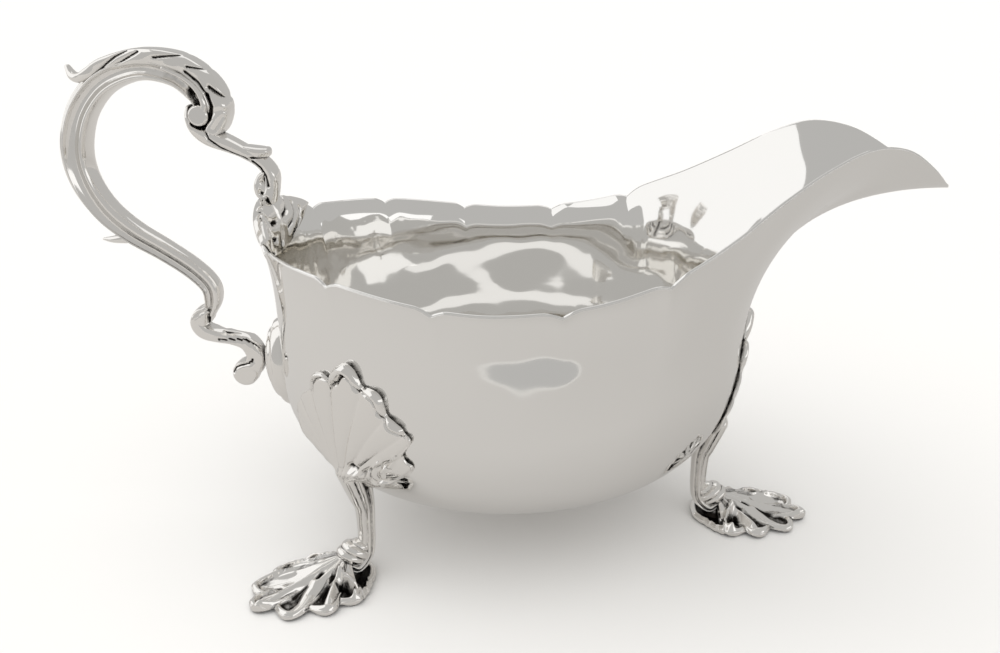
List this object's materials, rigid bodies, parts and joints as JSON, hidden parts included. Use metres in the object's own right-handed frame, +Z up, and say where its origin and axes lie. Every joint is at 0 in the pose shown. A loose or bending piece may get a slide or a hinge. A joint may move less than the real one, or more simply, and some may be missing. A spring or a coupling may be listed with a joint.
{
  "type": "sauce jug",
  "caption": "Footed silver sauce jug: an oval bowl with a waved edge and a long pouring lip, a high scroll handle and cast shell feet.",
  "frame": {"origin": "on the surface the jug stands on, below the middle of its outline", "axes": "+X from the handle to the pouring lip, +Z up, +Y to the left of someone who looks along +X"},
  "size_m": [0.1958, 0.0912, 0.1136],
  "materials": {
    "raised_silver": "raised sheet silver, polished bright, with fine wear scratches",
    "cast_silver": "cast and chased silver, polished on its ridges and dark in its hollows"
  },
  "bodies": {
    "root": {"bowl": "raised_silver", "knee_shell_front": "cast_silver", "leg_front": "cast_silver", "foot_shell_front": "cast_silver", "knee_shell_left": "cast_silver", "leg_left": "cast_silver", "foot_shell_left": "cast_silver", "knee_shell_right": "cast_silver", "leg_right": "cast_silver", "foot_shell_right": "cast_silver", "handle_main_scroll": "cast_silver", "handle_leaf_cap": "cast_silver", "handle_upper_scroll": "cast_silver", "handle_rim_leaf": "cast_silver", "handle_lower_scroll": "cast_silver", "handle_socket_plate": "cast_silver"}
  },
  "joints": []
}
